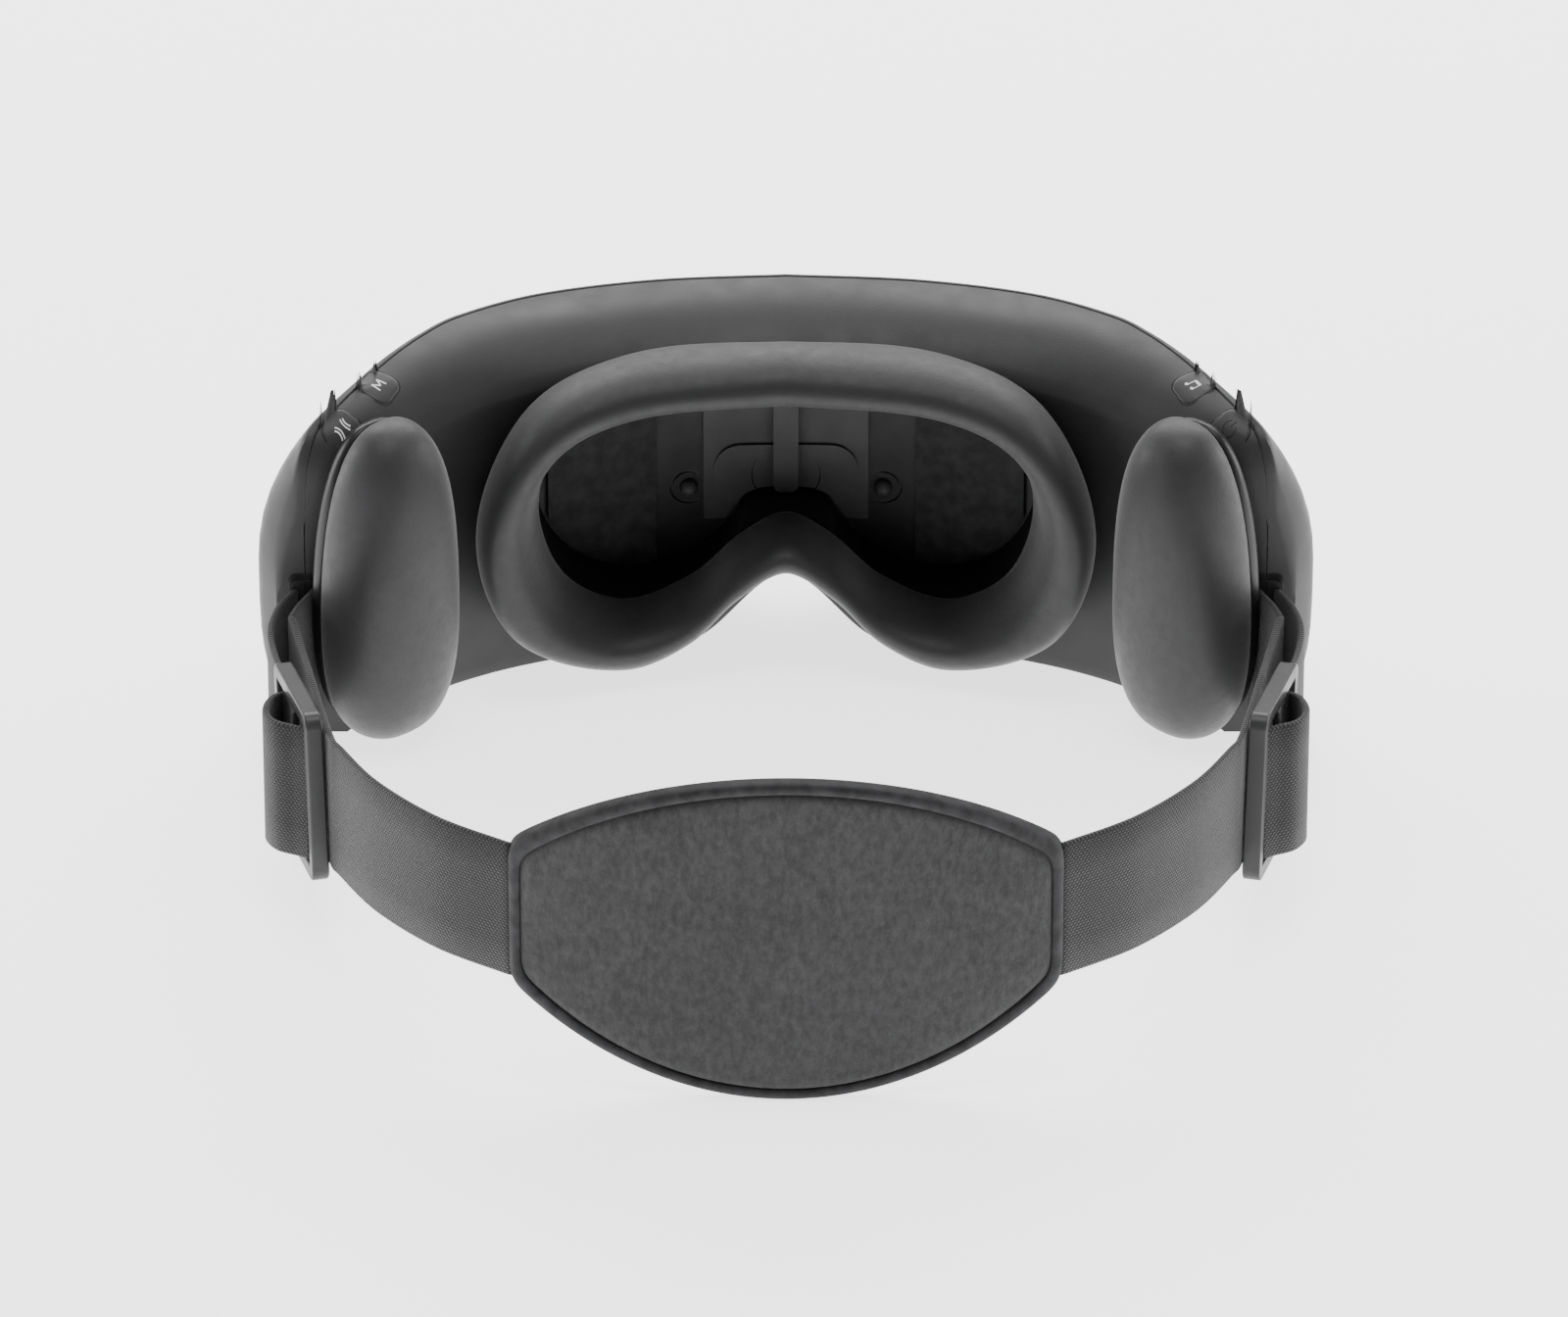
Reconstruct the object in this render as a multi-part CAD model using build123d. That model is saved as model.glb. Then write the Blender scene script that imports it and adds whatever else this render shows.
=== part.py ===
from build123d import *
import math
import os

# Eye massager mask: a wrap-round goggle housing with a face cushion, temple cushions, push buttons and
# an adjustable elastic head strap. Units are millimetres, +Z up, +Y towards the front of the mask.
# Everything is drawn with y = 0 on the front top edge and moved to the shared frame on export.

# ---- housing ------------------------------------------------------------------------------------
HEIGHT = 75.0            # housing height
CREASE_Z = 67.0          # where the crowned top meets the rear wall
WALL = 2.2               # moulded wall
SEAM_INSET = 1.2         # the seam runs this far behind the top edge
SEAM_GAP = 0.15          # open line between the two halves
ARM_END_Y = -60.5        # rear face of the temple arms
FRONT_Y = 5.0            # foremost point

# plan curves of one half from the centre line: top edge, widest level, rear wall, top edge of the crown
TOP_EDGE = [(0, 0), (27, -2.2), (51, -8.3), (67.5, -17.5), (75.4, -24.7), (83.2, -34),
            (88.5, -41.3), (94, -49.3), (97.5, -54.5), (100.4, ARM_END_Y)]
WIDEST = [(0, FRONT_Y), (29, 2.6), (55, -5), (73, -14.5), (84, -22.5), (94, -31.5),
          (101, -40), (107, -49.5), (108.3, -55), (104.6, ARM_END_Y)]
REAR_WALL = [(0, -22), (25, -24.2), (50.5, -32.2), (67, -40.5), (80, -51), (90, ARM_END_Y)]
CROWN_EDGE = [(0, -3.2), (26, -5.4), (49.5, -11.5), (64.5, -20.5), (78, -34), (97, ARM_END_Y)]
SEAM_END_X = 100.3       # where the seam runs down the rear face of an arm

NOSE_TOP, NOSE_HALF_W = 15.5, 19.0      # notch for the nose in the underside

# ---- eye opening, outlines of one half seen from behind, top centre first -------------------------
CUSHION_OUTER = [(0, 73), (34, 72), (54, 63), (64, 39), (57, 14), (36, 2), (21, 6), (10.5, 16.2), (0, 22.4)]
CUSHION_INNER = [(0, 61.5), (30, 61), (46, 55), (52, 40), (47, 22), (34, 13), (20, 17), (9.5, 26.5), (0, 31.4)]
LINER_RIM = [(0, 63), (31, 62.5), (47, 56.5), (53.5, 40), (49, 21), (35, 10.5), (20, 13), (9.5, 22.5),
             (0, 27.6)]
LINER_BAY = [(0, 61.8), (30.5, 61.3), (46, 55.3), (52.2, 40), (47.6, 22), (34.5, 12.4), (21, 14.8), (10.3, 24.2),
             (0, 29.2)]
CUSHION_FACE = [(0, -39), (30, -44), (50, -51), (66, -58.5)]
FRAME_T = 1.6            # retaining ring under the cushion
FLOOR_DEPTH = 13.0       # liner floor, in front of the rear wall
FLOOR_T = 2.0
HEAT_PANEL_X = (27.0, 49.5)
CENTRE_PANEL_X = 17.2
PILL = (30.0, 14.3, 5.5)
PILL_SEAT = (14.0, 11.4, 5.2)
PILL_Z = 33.0
DOME_X, DOME_Z, DOME_R = 20.3, 30.0, 1.85
LATCH_W, LATCH_T = 5.2, 1.6
LATCH_Y, LATCH_TOP_Z, LATCH_END_Z = -12.0, 56.0, 31.0
LATCH_PIN_R = 0.8
RUNNING_GAP = 0.05
CLEAR = 0.3              # least gap between pieces that move past each other

# ---- buttons --------------------------------------------------------------------------------------
BUTTON = 7.4
BUTTON_R = 2.2
BUTTON_GAP = 0.2
BUTTON_PROUD = 0.35
BUTTON_TURN = 60.0       # the buttons follow the arms
BUTTON_TRAVEL = 0.6
STEM_R = 1.3
SWITCH_Z = 53.6
SWITCH = 4.0
FRONT_BUTTON = (83.5, -42.2, 64.5)      # x, y, underside z
REAR_BUTTON = (90.6, -54.0, 61.5)

# ---- charging inlet on the underside of the right arm ------------------------------------------------
PORT_AT = (82.0, -42.5)
PORT = (9.0, 3.2)

# ---- screws ---------------------------------------------------------------------------------------
SCREW_R, HEAD_R, HEAD_T, SCREW_L, POST_R = 0.9, 1.9, 1.2, 11.0, 2.4

# ---- temple cushions --------------------------------------------------------------------------------
TEMPLE_AT = (85.9, -56.6)               # on the inner wall, behind the middle of the cushion
TEMPLE_TURN = -43.0                     # direction of the cushion's length in plan
TEMPLE_L, TEMPLE_H, TEMPLE_T = 31.5, 72.5, 16.0
TEMPLE_Z = 36.9
TEMPLE_PLATE_T = 2.0

# ---- strap ------------------------------------------------------------------------------------------
WEB_H, WEB_T = 30.0, 1.4
PIN_X, PIN_Y, PIN_Z, PIN_R = 98.4, -55.0, 19.0, 1.2
SLOT_X = (95.6, 101.9)
SLOT_Z = (2.9, 36.0)
SLOT_DEPTH = 9.5
PAD_HALF_W, PAD_H, PAD_END_H, PAD_T = 54.4, 72.0, 31.0, 4.4
PAD_END_Y, PAD_CENTRE_Y = -190.6, -202.4
PAD_Z = PAD_H / 2
BINDING = 2.4
STRAP_RISE = (PAD_Z - PIN_Z) / (ARM_END_Y - PAD_END_Y)
WEB_STRAIGHT = [(101.0, -75.0), (91.2, -135.5)]
BUCKLE_FRONT, BUCKLE_BACK = (100.9, -108.5), (94.0, -136.3)
BUCKLE_H, BUCKLE_T, BUCKLE_BAR = 36.4, 3.6, 3.0

REAR_Y = PAD_CENTRE_Y - PAD_T / 2
SHIFT_Y = -(FRONT_Y + REAR_Y) / 2


# ---- curves -----------------------------------------------------------------------------------------
def mix(a, b, t):
    """Point list part way from a to b."""
    return [(p[0] + (q[0] - p[0]) * t, p[1] + (q[1] - p[1]) * t) for p, q in zip(a, b)]


def inset(points, distance):
    """Moves a half curve rearwards by distance, keeping its first point on the centre line."""
    moved = []
    for i, (x, y) in enumerate(points):
        x0, y0 = points[max(i - 1, 0)]
        x1, y1 = points[min(i + 1, len(points) - 1)]
        length = math.hypot(x1 - x0, y1 - y0)
        moved.append((x + (y1 - y0) / length * distance, y - (x1 - x0) / length * distance))
    moved[0] = (0, points[0][1] - distance)
    return moved


def mirrored(points):
    """A half curve joined to its mirror image, from -X to +X."""
    return [(-x, y) for x, y in reversed(points[1:])] + points


def between(front, rear, z0, z1):
    """Vertical solid between two plan curves."""
    front_line = Spline(*mirrored(front))
    rear_line = Spline(*mirrored(rear))
    sides = [Line(front_line @ 1, rear_line @ 1), Line(front_line @ 0, rear_line @ 0)]
    face = make_face(Curve() + [front_line, rear_line] + sides)
    return Pos(0, 0, z0) * extrude(face, z1 - z0)


def wall_layer(near, far):
    """Layer that follows the rear wall, from near to far millimetres behind it."""
    return between(inset(REAR_WALL, near), inset(REAR_WALL, far), 0, HEIGHT)


def through(points):
    """Solid bar along Y whose section is a closed outline given as one half from top to bottom."""
    half = Spline(*points, tangents=[(1, 0), (-1, 0)])
    face = make_face(Curve() + [half, mirror(half, Plane.YZ)])
    return extrude(Plane.XZ * face, 150, both=True)


def both_sides(name, shape, parts):
    """Adds a piece drawn on the right and its mirror image."""
    parts["right_" + name] = shape
    parts["left_" + name] = mirror(shape, Plane.YZ)


# ---- housing ----------------------------------------------------------------------------------------
def barrel(z):
    """Share of the swelling from the top edge to the widest level at a height; the base stays wider."""
    level = (z - HEIGHT / 2) / (HEIGHT / 2)
    return max(0.0, 1 - level ** 2.4) if level > 0 else 1 - 0.7 * level ** 4


def crown(z):
    """Share of the way the rear edge has moved forward over the crowned top."""
    return 0.0 if z <= CREASE_Z else 1 - math.sqrt((HEIGHT - z) / (HEIGHT - CREASE_Z))


def outline(z, wall, shape_z):
    """Closed outline placed at z, shrunk by wall, with the shape that the outside has at shape_z."""
    front = inset(mix(TOP_EDGE, WIDEST, barrel(shape_z)), wall)
    rear = inset(mix(REAR_WALL, CROWN_EDGE, crown(shape_z)), -wall)
    front[-1] = (front[-1][0], ARM_END_Y + wall)
    rear[-1] = (rear[-1][0], ARM_END_Y + wall)
    front_line = Spline(*mirrored(front))
    rear_line = Spline(*mirrored(rear))
    sides = [Line(front_line @ 1, rear_line @ 1), Line(front_line @ 0, rear_line @ 0)]
    return Pos(0, 0, z) * make_face(Curve() + [front_line, rear_line] + sides)


def above_arms(wall):
    """Everything above the falling top and rounded rear corner of the arms."""
    fall = Spline((-8, 76.5), (-18, 75.2), (-25, 74.6), (-32, 73.6), (-38.5, 72.4), (-47, 70.8), (-53, 69.1),
                  (-57, 66.5), (-59.6, 61.8), (-60.7, 54.5), (-61, 46.5))
    rest = Polyline(fall @ 1, (-61.2, -5), (-95, -5), (-95, 95), (-8, 95), fall @ 0)
    bar = extrude(Plane.YZ * make_face(Curve() + [fall, rest]), 150, both=True)
    return Pos(0, wall, -wall) * bar


def nose_notch(wall):
    """Arched tunnel along Y under the middle of the housing, widened by wall."""
    arch = Spline((0, NOSE_TOP + wall), (NOSE_HALF_W / 2 + wall, NOSE_TOP * 0.6 + wall / 2),
                  (NOSE_HALF_W + wall, 0.8), (NOSE_HALF_W + wall + 12, -8), tangents=[(1, 0), (1, -0.3)])
    base = Line(arch @ 1, (-NOSE_HALF_W - wall - 12, -8))
    return extrude(Plane.XZ * make_face(Curve() + [arch, mirror(arch, Plane.YZ), base]), 60, both=True)


def housing_block(wall):
    """The housing as one solid, shrunk by wall."""
    lower = [(wall, 0.0)] + [(z, z) for z in (3 + wall, 9, 20, HEIGHT / 2, 52, 61)]
    lower.append((CREASE_Z - wall, CREASE_Z))
    upper = [(z - wall, z) for z in (CREASE_Z, 68.6, 70.4, 72.2, 73.6, 74.5, HEIGHT)]
    body = loft([outline(z, wall, shape_z) for z, shape_z in lower])
    body += loft([outline(z, wall, shape_z) for z, shape_z in upper])
    return body - above_arms(wall) - nose_notch(wall)


def seam_region(gap):
    """Everything in front of the seam, whose curve follows the top edge and turns in at the arm ends."""
    seam = inset(TOP_EDGE, SEAM_INSET + gap)
    seam[-2:] = [(97.6 - gap, -55.6), (SEAM_END_X - gap, ARM_END_Y - 3)]
    line = Spline(*mirrored(seam))
    far = Polyline(line @ 1, (150, ARM_END_Y - 3), (150, 60), (-150, 60), (-150, ARM_END_Y - 3), line @ 0)
    return Pos(0, 0, -5) * extrude(make_face(Curve() + [line, far]), HEIGHT + 10)


def rounded_prism(width, depth, radius, z0, z1):
    return Pos(0, 0, z0) * extrude(RectangleRounded(width, depth, radius), z1 - z0)


def button_prism(place, grow, z0):
    """Upright rounded-square bar at a button on the right arm."""
    size = BUTTON + 2 * grow
    bar = rounded_prism(size, size, BUTTON_R + grow, z0, HEIGHT + 5)
    return Pos(place[0], place[1], 0) * Rot(0, 0, -BUTTON_TURN) * bar


def screw_places():
    """x and z of the four screws behind the face cushion."""
    return [(side * x, z) for side in (1, -1) for x, z in ((51.0, 60.5), (54.0, 17.0))]


def wall_y(x):
    """y of the rear wall at x."""
    for (x0, y0), (x1, y1) in zip(REAR_WALL, REAR_WALL[1:]):
        if x0 <= abs(x) <= x1:
            return y0 + (y1 - y0) * (abs(x) - x0) / (x1 - x0)
    return ARM_END_Y


def along_y(x, z, radius, y_front, y_rear):
    """Round bar along Y."""
    bar = Plane.XZ * Circle(radius)
    return Pos(x, y_front, z) * extrude(bar, y_front - y_rear)


def make_housing(parts):
    outer = housing_block(0)
    inner = housing_block(WALL)
    shell = outer - inner
    front = shell & seam_region(0)
    rear = shell - seam_region(SEAM_GAP)
    opening = through(LINER_RIM) & wall_layer(-8, 3)
    rear -= opening
    slot = Box(SLOT_X[1] - SLOT_X[0], 2 * SLOT_DEPTH, SLOT_Z[1] - SLOT_Z[0])
    slot = Pos(sum(SLOT_X) / 2, ARM_END_Y, sum(SLOT_Z) / 2) * slot
    port = Pos(PORT_AT[0], PORT_AT[1], 0) * Box(PORT[0] + 0.4, PORT[1] + 0.4, 12)
    for side in (0, 1):
        cutters = [slot] + [button_prism(b, BUTTON_GAP, b[2] - 4) for b in (FRONT_BUTTON, REAR_BUTTON)]
        for cutter in cutters:
            piece = mirror(cutter, Plane.YZ) if side else cutter
            front -= piece
            rear -= piece
    rear -= port
    pin_seat = Pos(PIN_X - 3, PIN_Y, 39.4) * Box(22, 8, 4) & inner
    pin_seat -= Pos(PIN_X, PIN_Y, 0) * extrude(Circle(PIN_R), HEIGHT)
    pin_seat -= seam_region(-SEAM_GAP)
    pin_room = Pos(PIN_X, PIN_Y, WALL) * extrude(Circle(PIN_R + CLEAR), 8)
    front -= pin_room + mirror(pin_room, Plane.YZ)
    rear += pin_seat + mirror(pin_seat, Plane.YZ)
    for x, z in screw_places():
        y = wall_y(x)
        post = along_y(x, z, POST_R, y + 40, y + WALL + 1) - along_y(x, z, SCREW_R, y + 12, y - 3)
        front += post & inner
        rear -= along_y(x, z, SCREW_R, y + 8, y - 3) + along_y(x, z, HEAD_R, y + HEAD_T, y - 3)
    parts["front_cover"] = front
    parts["rear_housing"] = rear
    return outer, inner


def make_internals(inner, parts):
    """Pieces inside the housing."""
    room = housing_block(WALL + CLEAR)
    parts["main_board"] = Pos(0, -3.8, 41) * Box(58, 1.6, 28)
    battery = Pos(0, -0.9, 41) * Box(30, 3.9, 22)
    parts["battery"] = fillet(battery.edges().filter_by(Axis.X), 1.5)
    parts["vibration_motor"] = Pos(33, -7.6, 50) * Rot(0, 90, 0) * extrude(Circle(2.8), 9)
    hose = Plane.XY * ThreePointArc((-62, -24.4), (0, -8.5), (62, -24.4))
    hose_path = Pos(0, 0, 66.6) * hose
    tube = sweep(Plane(hose_path @ 0, z_dir=hose_path % 0) * Circle(1.5), path=hose_path)
    parts["air_hose"] = tube
    parts["air_valve"] = Pos(27, -10.8, 66.4) * Box(12, 8, 5.0) - tube
    pump = Pos(67, -27, 13) * extrude(Circle(8.6), 34)
    pump += Pos(67, -27, 47) * extrude(Circle(3), 6)
    both_sides("air_pump", pump, parts)
    both_sides("speaker", along_y(84, 24, 6.5, -35.5, -40.5) & room, parts)
    board = Pos(91, -47.4, SWITCH_Z - 5.2) * Rot(0, 0, -BUTTON_TURN) * Box(24, 12, 1.6)
    both_sides("button_board", board & room, parts)
    both_sides("strap_pin", Pos(PIN_X, PIN_Y, 0) * Pos(0, 0, WALL) * extrude(Circle(PIN_R), 38), parts)
    port = extrude(RectangleRounded(*PORT, 1.5), 7)
    port -= Pos(0, 0, -1) * extrude(RectangleRounded(PORT[0] - 0.7, PORT[1] - 0.7, 1.2), 7)
    port += Pos(0, 0, 1.5) * extrude(Rectangle(6.4, 0.7), 5)
    parts["charging_port"] = Pos(PORT_AT[0], PORT_AT[1], 0.4) * port


def make_screws(parts):
    for i, (x, z) in enumerate(screw_places()):
        y = wall_y(x)
        screw = along_y(x, z, SCREW_R, y + SCREW_L, y) + along_y(x, z, HEAD_R, y + HEAD_T, y)
        parts[f"housing_screw_{i + 1}"] = screw - along_y(x, z, 0.6, y + 0.7, y - 1)


# ---- eye opening --------------------------------------------------------------------------------------
def make_liner(parts):
    """Recessed liner with its heat panels, centre panel, domes and hinged tab."""
    liner = through(LINER_RIM) & wall_layer(-FLOOR_DEPTH - FLOOR_T, 0)
    liner -= through(LINER_BAY) & wall_layer(-FLOOR_DEPTH, 1)
    field = through(mix(LINER_RIM, LINER_BAY, 1.6))
    panel_w = HEAT_PANEL_X[1] - HEAT_PANEL_X[0]
    panel_box = Pos(sum(HEAT_PANEL_X) / 2, 0, HEIGHT / 2) * Box(panel_w, 200, HEIGHT)
    heat = panel_box & field & wall_layer(-FLOOR_DEPTH, -FLOOR_DEPTH + 1.2)
    both_sides("heat_panel", heat, parts)
    dome_y = wall_y(DOME_X) + FLOOR_DEPTH
    ring = Pos(DOME_X, dome_y, DOME_Z) * Rot(90, 0, 0) * (Cylinder(4.0, 1.6) - Cylinder(3.3, 1.6))
    liner -= ring + mirror(ring, Plane.YZ)
    dome = Pos(DOME_X, dome_y, DOME_Z) * Sphere(DOME_R) - liner
    both_sides("dome", max(dome.solids(), key=lambda s: -s.center().Y), parts)
    centre = Pos(0, 0, 41) * Box(2 * CENTRE_PANEL_X, 200, 37) & field
    centre = centre & wall_layer(-FLOOR_DEPTH, -FLOOR_DEPTH + 1)
    ear = Pos(LATCH_W / 2 + 1.0, LATCH_Y + 1, LATCH_TOP_Z) * Box(1.4, 4.4, 3.6)
    ears = ear + mirror(ear, Plane.YZ) - wall_layer(-FLOOR_DEPTH - 2, -FLOOR_DEPTH + 1)
    bore = Pos(0, LATCH_Y, LATCH_TOP_Z) * Rot(0, 90, 0) * Cylinder(LATCH_PIN_R + RUNNING_GAP, 20)
    parts["centre_panel"] = centre + (ears - bore)
    cover = Pos(0, 0, PILL_Z) * Rot(90, 0, 0) * extrude(RectangleRounded(*PILL), 50, both=True)
    seat = Pos(0, 0, PILL_Z) * Rot(90, 0, 0) * extrude(RectangleRounded(*PILL_SEAT), 50, both=True)
    grown = [size + 0.4 for size in PILL_SEAT]
    hole = Pos(0, 0, PILL_Z) * Rot(90, 0, 0) * extrude(RectangleRounded(*grown), 50, both=True)
    parts["pill_cover"] = (cover - hole) & field & wall_layer(-FLOOR_DEPTH + 1, -FLOOR_DEPTH + 1.7)
    parts["latch_seat"] = seat & field & wall_layer(-FLOOR_DEPTH + 1, -FLOOR_DEPTH + 1.4)
    parts["inner_liner"] = liner
    tab_z = (LATCH_TOP_Z + LATCH_END_Z) / 2
    tab = Pos(0, LATCH_Y, tab_z) * Box(LATCH_W, LATCH_T, LATCH_TOP_Z - LATCH_END_Z + 2)
    pin = Pos(0, LATCH_Y, LATCH_TOP_Z) * Rot(0, 90, 0) * Cylinder(LATCH_PIN_R, LATCH_W + 3.0)
    parts["centre_latch"] = fillet(tab.edges().filter_by(Axis.Y).group_by(Axis.Z)[0], 1.6) + pin


def make_cushion(parts):
    ring = through(mix(CUSHION_OUTER, LINER_RIM, 0.4)) - through(LINER_RIM)
    for x, z in screw_places():
        ring -= along_y(x, z, HEAD_R + CLEAR, wall_y(x) + HEAD_T, wall_y(x) - 3)
    parts["cushion_frame"] = ring & wall_layer(0, FRAME_T)
    foam = through(CUSHION_OUTER) - through(CUSHION_INNER)
    parts["face_cushion"] = foam & between(inset(REAR_WALL, FRAME_T), CUSHION_FACE, 0, HEIGHT)


def temple_block(length, height, start, thickness, corner):
    """Upright rounded pad beside the inner wall of the right arm, start millimetres away from it."""
    face = Rot(90, 0, 0) * extrude(RectangleRounded(length, height, length / 2 - 0.5), 40, both=True)
    plan = Pos(0, -start - thickness / 2, -50) * extrude(RectangleRounded(length, thickness, corner), 100)
    return Pos(TEMPLE_AT[0], TEMPLE_AT[1], TEMPLE_Z) * Rot(0, 0, TEMPLE_TURN) * (face & plan)


def make_temple_cushions(parts):
    plate = temple_block(TEMPLE_L - 4, TEMPLE_H - 4, -4, 12, 1) & wall_layer(0, TEMPLE_PLATE_T)
    both_sides("temple_plate", plate, parts)
    pad = temple_block(TEMPLE_L, TEMPLE_H, 0.5, TEMPLE_PLATE_T + TEMPLE_T - 0.5, 6)
    both_sides("temple_pad", pad - wall_layer(-20, TEMPLE_PLATE_T), parts)


# ---- buttons ------------------------------------------------------------------------------------------
def make_buttons(outer, parts):
    names = {FRONT_BUTTON: ("mode_button", "music_button"), REAR_BUTTON: ("squeeze_button", "power_button")}
    skin = Pos(0, 0, BUTTON_PROUD) * outer
    for place, (left_name, right_name) in names.items():
        x, y, under = place
        bar = button_prism(place, 0, under)
        cap = bar & skin
        stem_z = SWITCH_Z + BUTTON_TRAVEL + CLEAR
        cap += Pos(x, y, stem_z) * extrude(Circle(STEM_R), under - stem_z + 0.5)
        parts[right_name] = cap
        parts[left_name] = mirror(cap, Plane.YZ)
        kind = "front_switch" if place == FRONT_BUTTON else "rear_switch"
        body = Pos(x, y, SWITCH_Z - 2.2) * Rot(0, 0, -BUTTON_TURN) * Box(SWITCH, SWITCH, 4.4)
        both_sides(kind, body & housing_block(WALL + 0.1), parts)


# ---- strap --------------------------------------------------------------------------------------------
def strap_slab(height):
    """Slab across the mask that climbs with the strap."""
    corners = []
    for y, side in ((-45, 1), (-215, 1), (-215, -1), (-45, -1)):
        corners.append((y, PIN_Z + STRAP_RISE * (ARM_END_Y - y) + side * height / 2))
    return extrude(Plane.YZ * make_face(Polyline(*corners, close=True)), 150, both=True)


def ribbon(points, thickness, before=None):
    """Flat band seen edge-on in plan, along a curve through the points."""
    chain = ([before] if before else [points[0]]) + points + [points[-1]]
    sides = {1: [], -1: []}
    for (x0, y0), (x, y), (x1, y1) in zip(chain, chain[1:], chain[2:]):
        length = math.hypot(x1 - x0, y1 - y0)
        for side, offsets in sides.items():
            reach = side * thickness / 2 / length
            offsets.append((x + (y1 - y0) * reach, y - (x1 - x0) * reach))
    ends = [(chain[2][0] - chain[0][0], chain[2][1] - chain[0][1]),
            (points[-1][0] - points[-2][0], points[-1][1] - points[-2][1])]
    a = Spline(*sides[1], tangents=ends)
    b = Spline(*sides[-1], tangents=ends)
    return Pos(0, 0, -20) * extrude(make_face(Curve() + [a, b, Line(a @ 0, b @ 0), Line(a @ 1, b @ 1)]), 120)


def straight_ribbon(a, b, thickness):
    middle = ((a[0] + b[0]) / 2, (a[1] + b[1]) / 2)
    turn = math.degrees(math.atan2(b[1] - a[1], b[0] - a[0]))
    return Pos(middle[0], middle[1], 40) * Rot(0, 0, turn) * Box(math.dist(a, b), thickness, 120)


def make_strap(parts):
    """Webbing, front loops, buckles and rear pad."""
    slab = strap_slab(WEB_H)
    start, end = WEB_STRAIGHT
    curve = [end, (88.6, -143.5), (81.0, -160.5), (69.0, -177.6), (56.0, -189.3), (50.5, -193.2)]
    pad = make_rear_pad(parts)
    webbing = straight_ribbon(start, end, WEB_T) + ribbon(curve, WEB_T, before=start)
    both_sides("webbing", (webbing & slab) - pad, parts)
    wrap = Pos(PIN_X, PIN_Y, -20) * extrude(Circle(PIN_R + 0.3 + WEB_T) - Circle(PIN_R + 0.3), 120)
    wrap -= Pos(PIN_X, PIN_Y - 10, 0) * Box(20, 20, 200)
    reach = PIN_R + 0.3 + WEB_T / 2
    inner_leg = [(PIN_X - reach, PIN_Y), (96.9, ARM_END_Y), (99.4, -68.0), start]
    outer_leg = [(PIN_X + reach, PIN_Y), (100.9, ARM_END_Y), (103.8, -70.0), (105.0, -82.0), (103.6, -95.0),
                 (101.6, -103.6)]
    loop = wrap + ribbon(inner_leg, WEB_T, before=(PIN_X - reach, PIN_Y + 5))
    loop += ribbon(outer_leg, WEB_T, before=(PIN_X + reach, PIN_Y + 5))
    webbing_solid = parts["right_webbing"]
    both_sides("front_loop", (loop & slab) - webbing_solid, parts)
    buckle = make_buckle()
    both_sides("buckle", buckle, parts)
    fold = [(95.0, -135.6), (98.0, -132.4), (102.2, -129.6), (104.3, -124.5), (103.6, -118.0), (101.2, -115.2),
            (99.3, -118.0), (98.2, -125.5)]
    both_sides("webbing_fold", (ribbon(fold, WEB_T) & slab) - buckle, parts)


def make_buckle():
    (x0, y0), (x1, y1) = BUCKLE_FRONT, BUCKLE_BACK
    rise = STRAP_RISE * (y0 - y1)
    along = Vector(x1 - x0, y1 - y0, rise)
    across = Vector(0, 0, 1).cross(along).normalized()
    middle_y = (y0 + y1) / 2
    middle = Vector((x0 + x1) / 2, middle_y, PIN_Z + STRAP_RISE * (ARM_END_Y - middle_y))
    place = Plane(origin=middle, x_dir=along, z_dir=along.cross(across).normalized())
    ring = Box(along.length + BUCKLE_BAR, BUCKLE_T, BUCKLE_H)
    ring = fillet(ring.edges().filter_by(Axis.Y), 3)
    ring -= Box(along.length - BUCKLE_BAR, BUCKLE_T + 2, BUCKLE_H - 2 * BUCKLE_BAR)
    return place.location * ring


def pad_outline(margin):
    """Bar along Y with the pad's eye-shaped outline, drawn in by a margin."""
    w, h, end = PAD_HALF_W - margin, PAD_H / 2 - margin, PAD_END_H / 2 - margin
    top = ThreePointArc((-w, end), (0, h), (w, end))
    low = ThreePointArc((-w, -end), (0, -h), (w, -end))
    face = make_face(Curve() + [top, Line((w, end), (w, -end)), low, Line((-w, -end), (-w, end))])
    face = fillet(face.vertices(), 3)
    return Pos(0, 0, PAD_Z) * extrude(Plane.XZ * face, 260, both=True)


def pad_layer(inner, outer):
    """Upright curved layer, from inner to outer millimetres behind the middle of the pad."""
    sag = PAD_END_Y - PAD_CENTRE_Y
    radius = (PAD_HALF_W ** 2 + sag ** 2) / (2 * sag)
    ring = Circle(radius + outer) - Circle(radius + inner)
    ring = Pos(0, PAD_CENTRE_Y + radius) * ring & Pos(0, PAD_CENTRE_Y) * Rectangle(200, 60)
    return extrude(ring, PAD_H + 2)


def make_rear_pad(parts):
    half = PAD_T / 2
    skin = 0.8
    whole = pad_outline(0) & pad_layer(-half, half)
    parts["rear_pad_binding"] = whole - pad_outline(BINDING)
    parts["rear_pad_core"] = pad_outline(BINDING) & pad_layer(-half + skin, half - skin)
    parts["rear_pad_panel"] = pad_outline(BINDING + 0.4) & pad_layer(half - skin, half)
    parts["rear_pad_backing"] = pad_outline(BINDING + 0.4) & pad_layer(-half, -half + skin)
    return whole


def main():
    parts = {}
    outer, inner = make_housing(parts)
    make_internals(inner, parts)
    make_screws(parts)
    make_liner(parts)
    make_cushion(parts)
    make_temple_cushions(parts)
    make_buttons(outer, parts)
    make_strap(parts)
    os.makedirs("parts", exist_ok=True)
    for name, shape in parts.items():
        export_step(Pos(0, SHIFT_Y, 0) * shape, f"parts/{name}.step")


main()
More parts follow.
